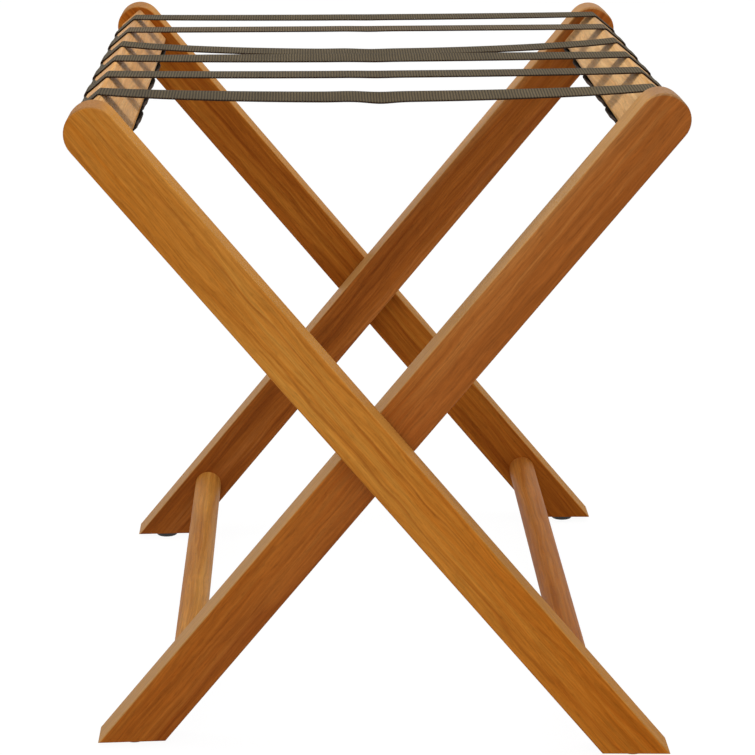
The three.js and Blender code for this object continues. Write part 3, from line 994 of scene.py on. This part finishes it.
# %% [markdown]
# ## Floor
# The rack stands on a plain pale floor. A truly white one would throw too much light back up at the
# rack, so it is grey to the light, and mostly plain white to camera, glossy and transmission rays.
# What is left of the grey keeps the rack's soft shadow.

# %% Floor
FLOOR_WHITE, FLOOR_GLOW = 0.88, 1.085  # how much of it is plain white, and how bright that is
FLOOR_HALF = 30  # half a side, as the grid operator counts it

paint = Recipe("white_floor")
paint.set(paint.shader, {"Base Color": (0.7, 0.7, 0.7, 1), "Roughness": 1.0})
glow = paint.node("Emission", {"Color": (1, 1, 1, 1), "Strength": FLOOR_GLOW})
share = paint.math("MULTIPLY", paint.seen_plainly(), FLOOR_WHITE)
both = paint.node("MixShader", {0: share, 1: paint.shader.outputs[0], 2: glow.outputs[0]})
paint.set(paint.tree.nodes["Material Output"], {"Surface": both.outputs[0]})

floor_shape = bmesh.new()
bmesh.ops.create_grid(floor_shape, x_segments=1, y_segments=1, size=FLOOR_HALF)
floor_mesh = bpy.data.meshes.new("floor")
floor_shape.to_mesh(floor_mesh)
floor_shape.free()
floor_mesh.materials.append(paint.material)
floor = bpy.data.objects.new("floor", floor_mesh)
bpy.context.scene.collection.objects.link(floor)
print("floor", [round(side) for side in floor.dimensions.xy], "m")

# %% [markdown]
# ## Light
# One broad lamp overhead draws the soft shadows of the straps on the rails. A weaker one in front
# and an even sky all round keep the faces below it from going black. A picture of a studio could
# light the rack too, but this is easier to change. The sky is plain white to the same rays as the
# floor, and weaker to those that light the rack.

# %% Sky
SKY_LIGHT = 0.55  # for the rack; 1 is white

world = bpy.data.worlds.new("studio")
bpy.context.scene.world = world
world.use_nodes = True
sky = Graph(world.node_tree)
strength = sky.spread(sky.seen_plainly(), 0.0, 1.0, SKY_LIGHT, 1.0)
sky.set(sky.tree.nodes["Background"], {"Color": (1, 1, 1, 1), "Strength": strength})
print("the sky lights the rack at", SKY_LIGHT)


# %% Lamps
def lamp(name, at, aim, size_x, size_y, power):
    data = bpy.data.lights.new(name, "AREA")
    data.shape, data.size, data.size_y, data.energy = "RECTANGLE", size_x, size_y, power
    made = bpy.data.objects.new(name, data)
    bpy.context.scene.collection.objects.link(made)
    made.location = at
    made.rotation_mode = "QUATERNION"
    made.rotation_quaternion = (Vector(aim) - Vector(at)).to_track_quat("-Z", "Y")
    return made


lamps = [
    lamp("overhead", at=(0, 0.05, 2.1), aim=(0, 0.05, 0), size_x=1.6, size_y=0.55, power=16),
    lamp("front", at=(-0.3, -2.6, 1.6), aim=(0, 0, 0.3), size_x=1.6, size_y=1.6, power=22),
]
print("lamps", [f"{o.name} {o.data.energy:.0f} W" for o in lamps])

# %% [markdown]
# ## Camera
# A long lens from a little above the straps, so that the far legs look only a little smaller than
# the near ones. A Track To constraint could aim it, but not tip it by a fifth of a degree, so its
# turn is a matrix of three directions: right, up and back.

# %% Camera
YAW, PITCH, ROLL = (math.radians(a) for a in (1.578, 15.465, -0.194))
STAND = (-0.0513, -2.1742, 0.8044)  # where it is

ahead = Vector((math.sin(YAW) * math.cos(PITCH), math.cos(YAW) * math.cos(PITCH), -math.sin(PITCH)))
right = Vector((math.cos(YAW), -math.sin(YAW), 0))
up = right.cross(ahead)
right, up = (
    right * math.cos(ROLL) + up * math.sin(ROLL),
    up * math.cos(ROLL) - right * math.sin(ROLL),
)
lens = bpy.data.cameras.new("camera")
lens.sensor_width, lens.lens = 36, 126.32  # millimetres
lens.shift_x, lens.shift_y = -0.0063, 0.0281
camera = bpy.data.objects.new("camera", lens)
bpy.context.scene.collection.objects.link(camera)
camera.location = STAND
camera.rotation_mode = "QUATERNION"
camera.rotation_quaternion = Matrix((right, up, -ahead)).transposed().to_quaternion()
bpy.context.scene.camera = camera
bpy.context.scene.view_settings.view_transform = "Standard"
print("camera", round(Vector(STAND).length, 2), "m from the middle of the floor")
